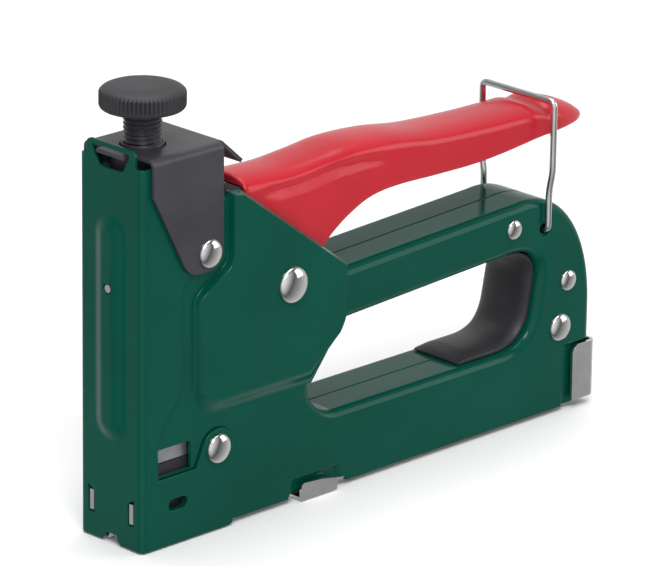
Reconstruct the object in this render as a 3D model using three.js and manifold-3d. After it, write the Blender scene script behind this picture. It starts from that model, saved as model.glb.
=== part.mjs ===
// A hand-operated staple gun. Millimetres, +X to the rear, +Z up, both sides alike about Y = 0.
// Places inside the model are measured from the front of the nose, on the surface it stands on.
// The last lines move everything so that the origin is below the middle of the whole tool.

import * as THREE from 'three';
import { mergeVertices } from 'three/addons/utils/BufferGeometryUtils.js';
import Module from 'manifold-3d';

const wasm = await Module();
wasm.setup();

// ---------------------------------------------------------------- driving dimensions

const GAP = 0.3; // between pieces that would otherwise touch
const SHEET = 1.2; // thickness of the pressed steel

// body shells
const BODY_HALF = 12.1; // half width over the bars
const BELLY_HALF = 14.3; // half width over the raised middle
const BODY_FRONT = 1.6;
const BODY_REAR = 183.6;
const BODY_BOTTOM = 1.1; // the cut edge of the side walls
const BODY_BEND = 2.8; // radius where a side turns into a top or bottom face
const INNER_HALF = BODY_HALF - SHEET;
const LOWER_BAR_TOP = 23.4;

// nose
const NOSE_HALF = 13;
const NOSE_SHEET = 1;
const NOSE_TOP = 112.3;
const NOSE_TAB_TOP = 117.3;
const NOSE_REAR = 35;
const NOSE_BULGE = 1.5;

// bracket, tension screw and knob
const BRACKET_HALF = 14.4;
const BRACKET_SHEET = 1.1;
const BRACKET_TOP = 115;
const SCREW_X = 12;
const SCREW_RADIUS = 5.5;
const SCREW_BOTTOM = 101.9;
const KNOB_BOTTOM = 125.2;
const KNOB_HEIGHT = 7.1;
const BUSH_RADIUS = 6.2; // of its neck through the bracket's top plate
const KNOB_RADIUS = 12.2;

// hammer and its spring
const HAMMER_BOTTOM = 24.4;
const HAMMER_TOP = 66;
const CUP_BOTTOM = 98.2;
const FINGER_BOTTOM = 52;
const FINGER_TOP = 58;

// lever
const PIVOT = [56.4, 67.1];
const LEVER_TIP = 186.4;
const GRIP_FRONT = 42.5;
const GRIP_HALF = 10.5;
const GRIP_WALL = 2.5;
const CORE_HALF = 7.4;
const CHEEK = 2.2; // thickness of each side of the steel lever

// soft insert
const INSERT_HALF = 9.3;

// wire bail
const BAIL_HOLE = [162.3, 59.4];
const WIRE_RADIUS = 1;
const BAIL_BAR = 99.2; // height of the bar's axis
const BAIL_HALF = 14.6;

// magazine
const TRAY_HALF = 8.7;
const TRAY_SHEET = 1;
const EARS = [61.6, 75.9]; // along the tray
const WING = 0.8; // thickness of the strip that joins each ear to the tray
const CHANNEL_HALF = 7.8;
const CHANNEL_TOP = 16.2;
const ROD_HEIGHT = 8;
const ROD_RADIUS = 1.5;
const PUSHER_FRONT = 5;
const PUSHER_LENGTH = 14;
const CAP_FRONT = 175;

// rivets: place, head radius, head height, the face the head sits on, shank radius
const RIVETS = {
  lever_pivot_rivet: { at: PIVOT, head: 5.4, dome: 2.4, seat: BELLY_HALF, shank: 3 },
  bracket_rivet: { at: [24.2, 83.8], head: 4.2, dome: 2, seat: BRACKET_HALF, shank: 2 },
  nose_side_rivet: { at: [29.1, 24.4], head: 4.4, dome: 2, seat: NOSE_HALF, shank: 2 },
  rear_top_rivet: { at: [149, 62.1], head: 3, dome: 1.5, seat: BODY_HALF, shank: 1.6 },
  rear_middle_rivet: { at: [172.9, 40.9], head: 3.2, dome: 1.5, seat: BODY_HALF, shank: 1.6 },
  rear_lower_rivet: { at: [169.9, 26.7], head: 4.3, dome: 2, seat: BODY_HALF, shank: 2 },
};

// ---------------------------------------------------------------- materials

function finish(color, roughness, metalness) {
  return new THREE.MeshStandardMaterial({ color, roughness, metalness });
}

const GREEN_PAINT = finish(0x06523f, 0.25, 0.1);
const RED_PLASTIC = finish(0xc02a35, 0.28, 0);
const BLACK_STEEL = finish(0x3a383d, 0.5, 0.5);
const BLACK_PLASTIC = finish(0x2b2b2e, 0.55, 0);
const CHROME = finish(0xe2e2e2, 0.12, 1);
const ZINC = finish(0xb4babd, 0.4, 0.8);
const SPRING_STEEL = finish(0x8a8c90, 0.35, 0.9);
const BLACK_RUBBER = finish(0x1c1c1d, 0.8, 0);

// ---------------------------------------------------------------- making and joining solids

function signedVolume(position, index) {
  const corners = [new THREE.Vector3(), new THREE.Vector3(), new THREE.Vector3()];
  let total = 0;
  for (let i = 0; i < index.length; i += 3) {
    corners.forEach((corner, k) => corner.fromBufferAttribute(position, index[i + k]));
    total += corners[0].dot(corners[1].clone().cross(corners[2]));
  }
  return total;
}

// A closed geometry as a manifold solid, its faces turned outwards.
function solid(geometry) {
  const bare = geometry.clone();
  bare.deleteAttribute('normal');
  bare.deleteAttribute('uv');
  const merged = mergeVertices(bare, 1e-4);
  const corners = merged.index.array;
  const kept = [];
  for (let i = 0; i < corners.length; i += 3) {
    const [a, b, c] = [corners[i], corners[i + 1], corners[i + 2]];
    if (a !== b && b !== c && c !== a) {
      kept.push(a, b, c);
    }
  }
  if (signedVolume(merged.attributes.position, kept) < 0) {
    kept.reverse();
  }
  const vertProperties = new Float32Array(merged.attributes.position.array);
  const triVerts = new Uint32Array(kept);
  return new wasm.Manifold(new wasm.Mesh({ numProp: 3, vertProperties, triVerts }));
}

function join(...solids) {
  return solids.reduce((whole, piece) => whole.add(piece));
}

function cut(whole, ...tools) {
  return tools.reduce((rest, tool) => rest.subtract(tool), whole);
}

function named(name, shape, material) {
  const result = shape.getMesh();
  const geometry = new THREE.BufferGeometry();
  geometry.setAttribute('position', new THREE.BufferAttribute(result.vertProperties, 3));
  geometry.setIndex(new THREE.BufferAttribute(result.triVerts, 1));
  geometry.computeVertexNormals();
  const mesh = new THREE.Mesh(geometry, material.clone());
  mesh.name = name;
  return mesh;
}

// ---------------------------------------------------------------- plain shapes

function block([x0, x1], [y0, y1], [z0, z1]) {
  const geometry = new THREE.BoxGeometry(x1 - x0, y1 - y0, z1 - z0);
  geometry.translate((x0 + x1) / 2, (y0 + y1) / 2, (z0 + z1) / 2);
  return solid(geometry);
}

// The same block on both sides of Y = 0.
function pairOfBlocks(xRange, [near, far], zRange) {
  return join(block(xRange, [near, far], zRange), block(xRange, [-far, -near], zRange));
}

function extrude(shape, depth, bevel) {
  return new THREE.ExtrudeGeometry(shape, {
    depth: depth - 2 * bevel.thickness,
    steps: 1,
    curveSegments: bevel.curveSegments ?? 8,
    bevelEnabled: bevel.thickness > 0 || bevel.grow !== undefined,
    bevelThickness: bevel.thickness,
    bevelSize: bevel.size ?? bevel.thickness,
    bevelOffset: (bevel.grow ?? 0) - (bevel.size ?? bevel.thickness),
    bevelSegments: bevel.segments ?? 2,
  });
}

// An outline in the X-Z plane, given thickness along Y from -half to half.
function plateXZ(shape, half, bevel = { thickness: 0 }) {
  const geometry = extrude(shape, 2 * half, bevel);
  geometry.translate(0, 0, -half + bevel.thickness);
  geometry.rotateX(Math.PI / 2);
  return solid(geometry);
}

// An outline in the X-Y plane, given thickness along Z.
function plateXY(shape, [low, high], bevel = { thickness: 0 }) {
  const geometry = extrude(shape, high - low, bevel);
  geometry.translate(0, 0, low + bevel.thickness);
  return solid(geometry);
}

// An outline in the Y-Z plane, given thickness along X.
function plateYZ(shape, [low, high], bevel = { thickness: 0 }) {
  const geometry = extrude(shape, high - low, bevel);
  geometry.translate(0, 0, low + bevel.thickness);
  geometry.rotateY(Math.PI / 2);
  geometry.rotateX(Math.PI / 2);
  return solid(geometry);
}

function rodAlongY([x, z], radius, [low, high], sides = 20) {
  const geometry = new THREE.CylinderGeometry(radius, radius, high - low, sides);
  geometry.translate(x, (low + high) / 2, z);
  return solid(geometry);
}

function rodAlongX([y, z], radius, [low, high], sides = 12) {
  const geometry = new THREE.CylinderGeometry(radius, radius, high - low, sides);
  geometry.rotateZ(Math.PI / 2);
  geometry.translate((low + high) / 2, y, z);
  return solid(geometry);
}

// A turned piece about the tension screw's upright axis; the profile is [radius, height].
function turnedOnScrewAxis(profile, sides = 24) {
  const points = profile.map(([radius, height]) => new THREE.Vector2(radius, height));
  const geometry = new THREE.LatheGeometry(points, sides);
  geometry.rotateX(Math.PI / 2);
  geometry.translate(SCREW_X, 0, 0);
  return solid(geometry);
}

function polygon(points) {
  return new THREE.Shape(points.map(([u, v]) => new THREE.Vector2(u, v)));
}

class Helix extends THREE.Curve {
  constructor(radius, length, turns) {
    super();
    Object.assign(this, { radius, length, turns });
  }

  getPoint(t, target = new THREE.Vector3()) {
    const angle = 2 * Math.PI * this.turns * t;
    return target.set(this.radius * Math.cos(angle), this.radius * Math.sin(angle), this.length * t);
  }
}

function wireSection(radius, sides) {
  const corners = [];
  for (let i = 0; i < sides; i += 1) {
    const angle = (2 * Math.PI * i) / sides;
    corners.push([radius * Math.cos(angle), radius * Math.sin(angle)]);
  }
  return polygon(corners);
}

// A coil spring standing on Z = 0.
function coil(radius, wire, length, turns, stepsPerTurn, sides) {
  return new THREE.ExtrudeGeometry(wireSection(wire, sides), {
    steps: turns * stepsPerTurn,
    extrudePath: new Helix(radius, length, turns),
    bevelEnabled: false,
  });
}

// Straight runs through the points, with each corner rounded.
function roundedWire(points, rounding) {
  const path = new THREE.CurvePath();
  let from = points[0];
  for (let i = 1; i < points.length - 1; i += 1) {
    const corner = points[i];
    const before = corner.clone().lerp(points[i - 1], rounding / corner.distanceTo(points[i - 1]));
    const after = corner.clone().lerp(points[i + 1], rounding / corner.distanceTo(points[i + 1]));
    path.add(new THREE.LineCurve3(from, before));
    path.add(new THREE.QuadraticBezierCurve3(before, corner, after));
    from = after;
  }
  path.add(new THREE.LineCurve3(from, points[points.length - 1]));
  return path;
}

// ---------------------------------------------------------------- body shells

// Side outline of the bars and the narrow front, with the hand opening in it.
function bodyOutline() {
  const shape = new THREE.Shape();
  shape.moveTo(BODY_FRONT, -4);
  shape.lineTo(BODY_REAR, -4);
  shape.lineTo(BODY_REAR, 32);
  shape.bezierCurveTo(BODY_REAR, 53, 172, 71.5, 152, 69.1);
  shape.lineTo(78, 65.8);
  shape.lineTo(38.2, 95);
  shape.lineTo(35.5, 99.3);
  shape.lineTo(BODY_FRONT, 99.3);
  shape.holes.push(handOpening());
  return shape;
}

function handOpening() {
  const hole = new THREE.Path();
  hole.moveTo(76.5, LOWER_BAR_TOP);
  hole.bezierCurveTo(70, 24.4, 63.5, 30.5, 67.2, 36);
  hole.lineTo(76.5, 47.6);
  hole.quadraticCurveTo(78.5, 50.2, 81.5, 50.4);
  hole.lineTo(149, 53.9);
  hole.bezierCurveTo(157, 54.3, 161.6, 51, 161.3, 44.2);
  hole.lineTo(159.2, 33.5);
  hole.bezierCurveTo(157.8, 27, 153.5, LOWER_BAR_TOP, 144, LOWER_BAR_TOP);
  return hole;
}

// The raised middle, which holds the lever's pivot.
function bellyOutline() {
  const shape = new THREE.Shape();
  shape.moveTo(33, 99.6);
  shape.lineTo(33, 81);
  shape.bezierCurveTo(33, 75.5, 20, 75, 20, 68);
  shape.lineTo(20, 43);
  shape.quadraticCurveTo(20.5, 34.6, 30, 34.6);
  shape.lineTo(66.2, 34.6);
  shape.lineTo(79.2, 51);
  shape.lineTo(79.2, 68.4);
  shape.lineTo(37.8, 98.9);
  return shape;
}

// Both shells in one piece, before they are cut down the middle.
function wholeBody() {
  const bars = bodyOutline();
  const belly = bellyOutline();
  const outside = join(
    plateXZ(bars, BODY_HALF, { thickness: BODY_BEND }),
    plateXZ(belly, BELLY_HALF, { thickness: 2.2, size: 1.8 }),
  );
  const inside = join(
    plateXZ(bars, INNER_HALF, { thickness: 1.2, grow: -SHEET }),
    plateXZ(belly, BELLY_HALF - SHEET, { thickness: 2.2, size: 1.8, grow: -SHEET }),
  );
  const openFront = block([0, 4], [-INNER_HALF, INNER_HALF], [0, 110]);
  const openBottom = block([0, BODY_REAR + 1], [-9.7, 9.7], [0, 4]);
  const cutEdge = block([0, BODY_REAR + 1], [-20, 20], [-10, BODY_BOTTOM]);
  const openRear = block([178, BODY_REAR + 1], [-9.7, 9.7], [0, 20.5]);
  const wingNotch = block([EARS[0] - 4, EARS[1] + 5], [-20, 20], [0, 2.5]);
  const slotOutline = [[0, 94], [33, 94], [74.5, 64], [77.6, 66.2], [77.6, 72], [38, 101], [0, 101]];
  const leverSlot = plateXZ(polygon(slotOutline), 11.2);
  return cut(outside, inside, openFront, openBottom, openRear, cutEdge, wingNotch, leverSlot);
}

// Shallow pressed pockets that the tray's ears and end cap lie in, each with its own floor.
function withPockets(body) {
  const pockets = [
    { x: [EARS[0] - 3.2, EARS[1] + 3], z: [0, 7] },
    { x: [171.2, BODY_REAR + 1], z: [0, 20.8] },
  ];
  let result = body;
  for (const { x, z } of pockets) {
    const floorX = [x[0] - 1, Math.min(x[1] + 1, BODY_REAR - SHEET)];
    const floor = pairOfBlocks(floorX, [INNER_HALF - 0.9, INNER_HALF + 0.1], [BODY_BOTTOM + 1.6, z[1] + 1]);
    result = join(cut(result, pairOfBlocks(x, [INNER_HALF + 0.1, 20], z)), floor);
  }
  return result;
}

function rivetBores(clearance) {
  return Object.values(RIVETS).map(({ at, shank }) => rodAlongY(at, shank + clearance, [-20, 20], 16));
}

function bodyShells() {
  const flangeSeat = plateXZ(noseSideOutline(), 20, { thickness: 0, size: 0, grow: GAP, segments: 1 });
  const seatCore = block([-5, 50], [-11.7, 11.7], [-5, 120]);
  const noseSeat = cut(flangeSeat, seatCore);
  const window = block([6.6, 19.3], [-20, 20], [20.9, 29.1]);
  const oval = plateXZ(sideSlotOutline(0), 20);
  const bailHole = rodAlongY(BAIL_HOLE, WIRE_RADIUS + 0.5, [-20, 20], 12);
  const [bailX] = BAIL_HOLE;
  const bailGroove = pairOfBlocks([bailX - 2.2, bailX + 2.2], [BODY_HALF - 0.5, 20], [58, 75]);
  const openings = [noseSeat, window, oval, bailHole, bailGroove];
  const body = cut(withPockets(wholeBody()), ...openings, ...rivetBores(0.2));
  const seam = GAP / 2;
  const nearHalf = block([-5, 200], [-20, -seam], [-5, 130]);
  const farHalf = block([-5, 200], [seam, 20], [-5, 130]);
  return [
    named('left_body_shell', body.intersect(nearHalf), GREEN_PAINT),
    named('right_body_shell', body.intersect(farHalf), GREEN_PAINT),
  ];
}

// ---------------------------------------------------------------- nose

// Side outline of the nose cover: a foot round the lower rivet, a window, and an S-shaped rear edge.
function noseSideOutline() {
  const [rivetX, rivetZ] = RIVETS.nose_side_rivet.at;
  const shape = new THREE.Shape();
  shape.moveTo(0, 0);
  shape.lineTo(NOSE_REAR - 2, 0);
  shape.quadraticCurveTo(NOSE_REAR, 0, NOSE_REAR, 2);
  shape.absarc(rivetX, rivetZ, NOSE_REAR - rivetX, 0, (5 * Math.PI) / 6, false);
  shape.lineTo(20.8, 20.3);
  shape.lineTo(6.3, 20.3);
  shape.lineTo(6, 29.4);
  shape.bezierCurveTo(6, 36, 9, 37.5, 11, 40);
  shape.bezierCurveTo(14, 43, 15, 45.5, 15, 50);
  shape.lineTo(15, 71.5);
  shape.bezierCurveTo(15, 76, 17.5, 78.8, 22, 79.6);
  shape.lineTo(27.6, 80);
  shape.lineTo(27.6, NOSE_TOP);
  shape.lineTo(0, NOSE_TOP);
  return shape;
}

// A short slot with round ends.
function sideSlotOutline(grow) {
  const [x, z, halfLength, radius] = [13.8, 11.8, 1.9, 1.75 + grow];
  const shape = new THREE.Shape();
  shape.absarc(x + halfLength, z, radius, -Math.PI / 2, Math.PI / 2, false);
  shape.absarc(x - halfLength, z, radius, Math.PI / 2, (3 * Math.PI) / 2, false);
  return shape;
}

function channelSection(half, front, corner) {
  const shape = new THREE.Shape();
  shape.moveTo(50, -half);
  shape.lineTo(50, half);
  shape.lineTo(front + corner, half);
  shape.quadraticCurveTo(front, half, front, half - corner);
  shape.lineTo(front, -half + corner);
  shape.quadraticCurveTo(front, -half, front + corner, -half);
  return shape;
}

function tabOutline() {
  return polygon([
    [-10, 100], [10, 100], [10, NOSE_TAB_TOP - 2], [9.4, NOSE_TAB_TOP - 0.6], [8, NOSE_TAB_TOP],
    [-8, NOSE_TAB_TOP], [-9.4, NOSE_TAB_TOP - 0.6], [-10, NOSE_TAB_TOP - 2],
  ]);
}

function bulgeOutline() {
  const [half, low, high] = [6.2, 31, 96.5];
  const shape = new THREE.Shape();
  shape.absarc(0, high - half, half, 0, Math.PI, false);
  shape.absarc(0, low + half, half, Math.PI, 2 * Math.PI, false);
  return shape;
}

function noseCover() {
  const outer = plateXY(channelSection(NOSE_HALF, 0, 2), [0, NOSE_TAB_TOP]);
  const inner = plateXY(channelSection(NOSE_HALF - NOSE_SHEET, NOSE_SHEET, 1.2), [-1, NOSE_TAB_TOP + 1]);
  const tab = plateYZ(tabOutline(), [-1, NOSE_SHEET]);
  const envelope = join(plateXZ(noseSideOutline(), 20), tab);
  const bulge = plateYZ(bulgeOutline(), [-NOSE_BULGE, NOSE_BULGE], { thickness: NOSE_BULGE - 0.1, size: 4.6 });
  const bulgeFront = bulge.intersect(block([-5, NOSE_SHEET], [-10, 10], [0, NOSE_TAB_TOP]));
  const tongueOutline = [[-5, 110.6], [5, 110.6], [7.4, 114.6], [7.4, 115.9], [-7.4, 115.9], [-7.4, 114.6]];
  const tongueSlot = plateYZ(polygon(tongueOutline), [-3, 3]);
  const notchOutline = [[-3.7, -1], [3.7, -1], [3.7, 0.3], [2.2, 2.6], [-2.2, 2.6], [-3.7, 0.3]];
  const sightNotch = plateYZ(polygon(notchOutline), [-3, 3]);
  const earSlots = pairOfBlocks([-3, 3], [6.9, 9.5], [7, 14.4]);
  const rivetHole = rodAlongX([0, 75.6], 1.5, [-5, 5]);
  const oval = plateXZ(sideSlotOutline(0), 20);
  const channel = cut(outer, inner).intersect(envelope);
  return cut(join(channel, bulgeFront), tongueSlot, sightNotch, earSlots, rivetHole, oval, ...rivetBores(0.2));
}

// The chromed plate the driver blade runs behind, with two ears that hook into the cover's slots.
function frontGuidePlate() {
  const plate = block([NOSE_SHEET + GAP, 2.6], [-10.4, 10.4], [0.5, 80]);
  const ears = pairOfBlocks([0.3, 2], [7.4, 9], [7.6, 13.6]);
  const notch = block([0, 5], [-2, 2], [0, 2.6]);
  const rivetHole = rodAlongX([0, 75.6], 1.2, [-5, 5]);
  return cut(join(plate, ears), notch, rivetHole);
}

function noseFrontRivet() {
  const head = rodAlongX([0, 75.6], 1.2, [-1.1, 0.9]);
  const shank = rodAlongX([0, 75.6], 0.9, [-1, 3.6]);
  return join(head, shank);
}

function bumper() {
  return block([4.6, 19.4], [-10.3, 10.3], [CHANNEL_TOP + GAP, HAMMER_BOTTOM - 0.4]);
}

// ---------------------------------------------------------------- bracket, tension screw and knob

function bracketEarOutline() {
  const [rivetX, rivetZ] = RIVETS.bracket_rivet.at;
  const shape = new THREE.Shape();
  const foot = 5.2; // radius round the rivet
  shape.moveTo(2.8, 130);
  shape.lineTo(3.2, 104.2);
  shape.lineTo(14.3, 82.7);
  shape.quadraticCurveTo(16.4, rivetZ - foot, 20, rivetZ - foot);
  shape.lineTo(rivetX, rivetZ - foot);
  shape.absarc(rivetX, rivetZ, foot, -Math.PI / 2, 0, false);
  shape.lineTo(rivetX + foot, 130);
  return shape;
}

function bracketSection(half, top, corner) {
  return polygon([
    [-half, 70], [half, 70], [half, top - corner], [half - 0.3 * corner, top - 0.3 * corner],
    [half - corner, top], [-half + corner, top], [-half + 0.3 * corner, top - 0.3 * corner],
    [-half, top - corner],
  ]);
}

function topBracket() {
  const outer = plateYZ(bracketSection(BRACKET_HALF, BRACKET_TOP, 1.6), [0, 29.9]);
  const innerHalf = BRACKET_HALF - BRACKET_SHEET;
  const inner = plateYZ(bracketSection(innerHalf, BRACKET_TOP - BRACKET_SHEET - 0.1, 0.6), [-1, 31]);
  const ears = cut(outer, inner).intersect(plateXZ(bracketEarOutline(), 20));
  const tailOutline = [[28.9, BRACKET_TOP], [29.6, BRACKET_TOP], [38.8, 107.6], [38.1, 106.7], [28.9, 113.9]];
  const tail = plateXZ(polygon(tailOutline), 12);
  const tongue = block([-0.2, 4], [-5.6, 5.6], [BRACKET_TOP - BRACKET_SHEET - 0.1, BRACKET_TOP]);
  const clear = BUSH_RADIUS + GAP;
  const screwHole = turnedOnScrewAxis([[0, 110], [clear, 110], [clear, 120], [0, 120]]);
  return cut(join(ears, tail, tongue), screwHole, ...rivetBores(0.2));
}

function threadedBush() {
  const bore = SCREW_RADIUS + 0.1;
  const underPlate = BRACKET_TOP - BRACKET_SHEET - 0.1 - GAP;
  return turnedOnScrewAxis([
    [bore, 108.5], [9, 108.5], [9, underPlate], [BUSH_RADIUS, underPlate], [BUSH_RADIUS, BRACKET_TOP + 0.8],
    [bore, BRACKET_TOP + 0.8], [bore, 108.5],
  ]);
}

function tensionScrew() {
  return turnedOnScrewAxis([
    [0, SCREW_BOTTOM], [4.6, SCREW_BOTTOM], [SCREW_RADIUS, 102.9], [SCREW_RADIUS, KNOB_BOTTOM - GAP],
    [4, KNOB_BOTTOM - GAP], [4, KNOB_BOTTOM + 2.7], [0, KNOB_BOTTOM + 2.7],
  ]);
}

function tensionKnob() {
  const r = KNOB_RADIUS;
  const z = KNOB_BOTTOM;
  const top = z + KNOB_HEIGHT;
  return turnedOnScrewAxis([
    [4.3, z], [r - 1.8, z], [r, z + 0.7], [r, top - 2.7], [r - 0.5, top - 1.4], [r - 2, top - 0.6],
    [r - 4, top - 0.1], [0, top], [0, z + 3], [4.3, z + 3], [4.3, z],
  ], 32);
}

function springCup() {
  return turnedOnScrewAxis([
    [0, CUP_BOTTOM - 3], [5.6, CUP_BOTTOM - 3], [5.6, CUP_BOTTOM], [9.4, CUP_BOTTOM], [9.4, SCREW_BOTTOM - GAP],
    [0, SCREW_BOTTOM - GAP],
  ]);
}

function mainSpring() {
  const wire = 1;
  const bottom = HAMMER_TOP + GAP + wire;
  const top = CUP_BOTTOM - GAP - wire;
  const geometry = coil(7.3, wire, top - bottom, 7, 10, 6);
  geometry.translate(SCREW_X, 0, bottom);
  return solid(geometry);
}

// ---------------------------------------------------------------- hammer and blade

function hammer() {
  const body = block([4.3, 19.6], [-10.3, 10.3], [HAMMER_BOTTOM, HAMMER_TOP]);
  const fingerNotch = block([9.5, 25], [-4.7, 4.7], [FINGER_BOTTOM - 2, FINGER_TOP + 0.5]);
  const rearStep = block([14, 25], [-20, 20], [FINGER_TOP + 4, HAMMER_TOP + 1]);
  const seat = turnedOnScrewAxis([[0, HAMMER_TOP - 2], [9.4, HAMMER_TOP - 2], [9.4, HAMMER_TOP], [0, HAMMER_TOP]]);
  const spigot = turnedOnScrewAxis([
    [0, HAMMER_TOP - 1], [5.6, HAMMER_TOP - 1], [5.6, HAMMER_TOP + 4], [0, HAMMER_TOP + 4],
  ]);
  const trimmed = join(cut(body, rearStep), seat, spigot);
  return trimmed.subtract(fingerNotch).intersect(block([4.3, 30], [-20, 20], [0, 100]));
}

function driverBlade() {
  return block([3, 4], [-6, 6], [1, 60]);
}

// ---------------------------------------------------------------- lever

const GRIP_TOP = [
  [GRIP_FRONT, 100.2], [50, 99.8], [61, 99.4], [73, 100.2], [86, 101.3], [102, 100.5], [118, 98.3],
  [138, 97.2], [155, 96.9], [168, 97], [175, 95.4], [180, 93.3], [184, 90.8], [LEVER_TIP, 88.6],
];
const GRIP_BOTTOM = [
  [184.3, 88.1], [172, 88.2], [160, 87.4], [148, 86.1], [134, 85.2], [118, 85.3], [101, 85.6], [91, 84.5],
  [83, 81.4], [76, 77.1], [70.5, 72.2],
];

function smooth(points, lift, spans) {
  const curve = new THREE.SplineCurve(points.map(([x, z]) => new THREE.Vector2(x, z + lift)));
  return curve.getPoints(spans).map(({ x, y }) => [x, y]);
}

// Seen from above: nearly straight sides and a half-round tongue.
function gripPlan(half) {
  const tongue = LEVER_TIP - 20;
  const shape = new THREE.Shape();
  shape.moveTo(GRIP_FRONT, half - 1);
  shape.lineTo(GRIP_FRONT, 1 - half);
  shape.lineTo(62, -half);
  shape.lineTo(tongue, -half);
  shape.absellipse(tongue, 0, LEVER_TIP - tongue, half, -Math.PI / 2, Math.PI / 2, false);
  shape.lineTo(62, half);
  return shape;
}

// What the steel lever fills inside the grip; grow is the clearance round it.
function coreBeam(grow) {
  const top = smooth(GRIP_TOP.slice(0, -4), -GRIP_WALL - GAP + grow, 16);
  const bottom = smooth(GRIP_BOTTOM.slice(1, -1), 1.5 - grow, 14);
  top[0][0] = GRIP_FRONT - 1;
  top[top.length - 1][0] += grow;
  bottom[0][0] += grow;
  return [...top, ...bottom];
}

function leverGrip() {
  const [front, rear] = [GRIP_FRONT - 8, LEVER_TIP + 8];
  const crest = smooth([[front, 100.5], ...GRIP_TOP, [rear, 82]], 0, 32);
  const bevel = { thickness: 3.6, size: 2.6, segments: 3 };
  const blank = plateXZ(polygon([...crest, [rear, 60], [front, 60]]), GRIP_HALF, bevel);
  const underside = polygon([
    [rear, 87.8], ...smooth(GRIP_BOTTOM, 0, 20), [66.5, 71], [GRIP_FRONT, 88],
    [front, 88], [front, 50], [rear, 50],
  ]);
  const rounded = cut(blank.intersect(plateXY(gripPlan(GRIP_HALF + 0.01), [50, 110])), plateXZ(underside, 20));
  const pocketOutline = polygon([...coreBeam(GAP), [66, 60], [30, 60], [30, coreBeam(GAP)[0][1]]]);
  const pocket = plateXZ(pocketOutline, CORE_HALF + GAP);
  const lowerEdge = GRIP_BOTTOM.slice(1);
  const channelOutline = [...smooth(lowerEdge, 4, 12), [60, 60], ...smooth(lowerEdge, -6, 12).reverse()];
  const channel = plateXZ(polygon(channelOutline), CORE_HALF - CHEEK);
  return cut(rounded, pocket, channel);
}

// The pressed steel lever: an open channel inside the grip, two cheeks round the pivot, and a finger
// that reaches forward into the hammer.
function leverArm() {
  const pivotRadius = 9.5;
  const [pivotX, pivotZ] = PIVOT;
  const beam = coreBeam(0);
  const sideOutline = polygon([
    ...beam, [68, 66], [62, pivotZ - 8], [pivotX, pivotZ - pivotRadius], [46, FINGER_BOTTOM + 5],
    [34, FINGER_BOTTOM], [24, FINGER_BOTTOM], [24, FINGER_TOP], [27, 70], [29.5, 96.5], [33.5, 100], [37, 100],
  ]);
  const sides = plateXZ(sideOutline, CORE_HALF);
  const hollowTop = beam.slice(0, 16).map(([x, z]) => [x, z - CHEEK]);
  const hollowOutline = polygon([
    [36, 96.5], ...hollowTop, [176, 80], [90, 75], [72, 50], [34, 50], [34, 62], [31, 70], [33, 94.5],
  ]);
  const hollow = plateXZ(hollowOutline, CORE_HALF - CHEEK);
  const finger = block([12.5, 26], [-4, 4], [FINGER_BOTTOM, FINGER_TOP]);
  return cut(join(cut(sides, hollow), finger), ...rivetBores(0.2));
}

function pivotSpacer(side) {
  const inner = CORE_HALF + GAP;
  const outer = BELLY_HALF - SHEET - GAP;
  const range = side < 0 ? [-outer, -inner] : [inner, outer];
  return cut(rodAlongY(PIVOT, 6.3, range), rodAlongY(PIVOT, RIVETS.lever_pivot_rivet.shank + 0.2, [-20, 20]));
}

// ---------------------------------------------------------------- rivets

function rivet({ head, dome, seat, shank, at }) {
  const under = seat + GAP;
  const profile = [[0, -under - dome]];
  const arcSteps = 3;
  for (let i = 1; i <= arcSteps; i += 1) {
    const angle = (i / arcSteps) * (Math.PI / 2);
    profile.push([head * Math.sin(angle), -under - dome * Math.cos(angle)]);
  }
  profile.push([shank, -under]);
  const mirrored = profile.map(([radius, y]) => [radius, -y]).reverse();
  const points = [...profile, ...mirrored].map(([radius, y]) => new THREE.Vector2(radius, y));
  const geometry = new THREE.LatheGeometry(points, 16);
  geometry.translate(at[0], 0, at[1]);
  return solid(geometry);
}

// ---------------------------------------------------------------- wire bail

function wireBail() {
  const [x, holeZ] = BAIL_HOLE;
  const lowerHalf = BODY_HALF + WIRE_RADIUS + 0.3;
  const nearLeg = [
    [9.4, holeZ], [lowerHalf, holeZ], [lowerHalf, 71.2], [BAIL_HALF, 77.8], [BAIL_HALF, BAIL_BAR],
  ].map(([y, z]) => new THREE.Vector3(x, -y, z));
  const farLeg = nearLeg.map(({ y, z }) => new THREE.Vector3(x, -y, z)).reverse();
  const geometry = new THREE.ExtrudeGeometry(wireSection(WIRE_RADIUS, 8), {
    steps: 52,
    extrudePath: roundedWire([...nearLeg, ...farLeg], 1.8),
    bevelEnabled: false,
  });
  return solid(geometry);
}

// ---------------------------------------------------------------- soft finger rest in the hand opening

function gripInsert() {
  const thick = 2.6;
  const bottom = LOWER_BAR_TOP + GAP;
  const shape = new THREE.Shape();
  shape.moveTo(129.5, bottom);
  shape.lineTo(144, bottom);
  shape.bezierCurveTo(153, bottom, 157.4, 27.2, 158.9, 33.6);
  shape.lineTo(161, 44.2);
  shape.bezierCurveTo(161.2, 50.4, 156.6, 53.7, 149.6, 53.5);
  shape.lineTo(149.6, 52);
  shape.bezierCurveTo(155.4, 51.6, 158.6, 49.4, 158.4, 44.4);
  shape.lineTo(156.3, 34);
  shape.bezierCurveTo(154.8, 28.8, 151.4, bottom + thick, 143, bottom + thick);
  shape.lineTo(131, bottom + 1.2);
  return plateXZ(shape, INSERT_HALF, { thickness: 0.8, size: 0.4, segments: 1 });
}

// ---------------------------------------------------------------- magazine

// The fixed roof and walls that the staples run in.
function stapleChannel() {
  const outer = block([4.6, 168], [-CHANNEL_HALF, CHANNEL_HALF], [TRAY_SHEET + GAP, CHANNEL_TOP]);
  const innerHalf = CHANNEL_HALF - TRAY_SHEET;
  const inner = block([0, 180], [-innerHalf, innerHalf], [0, CHANNEL_TOP - TRAY_SHEET]);
  return outer.subtract(inner);
}

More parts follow.
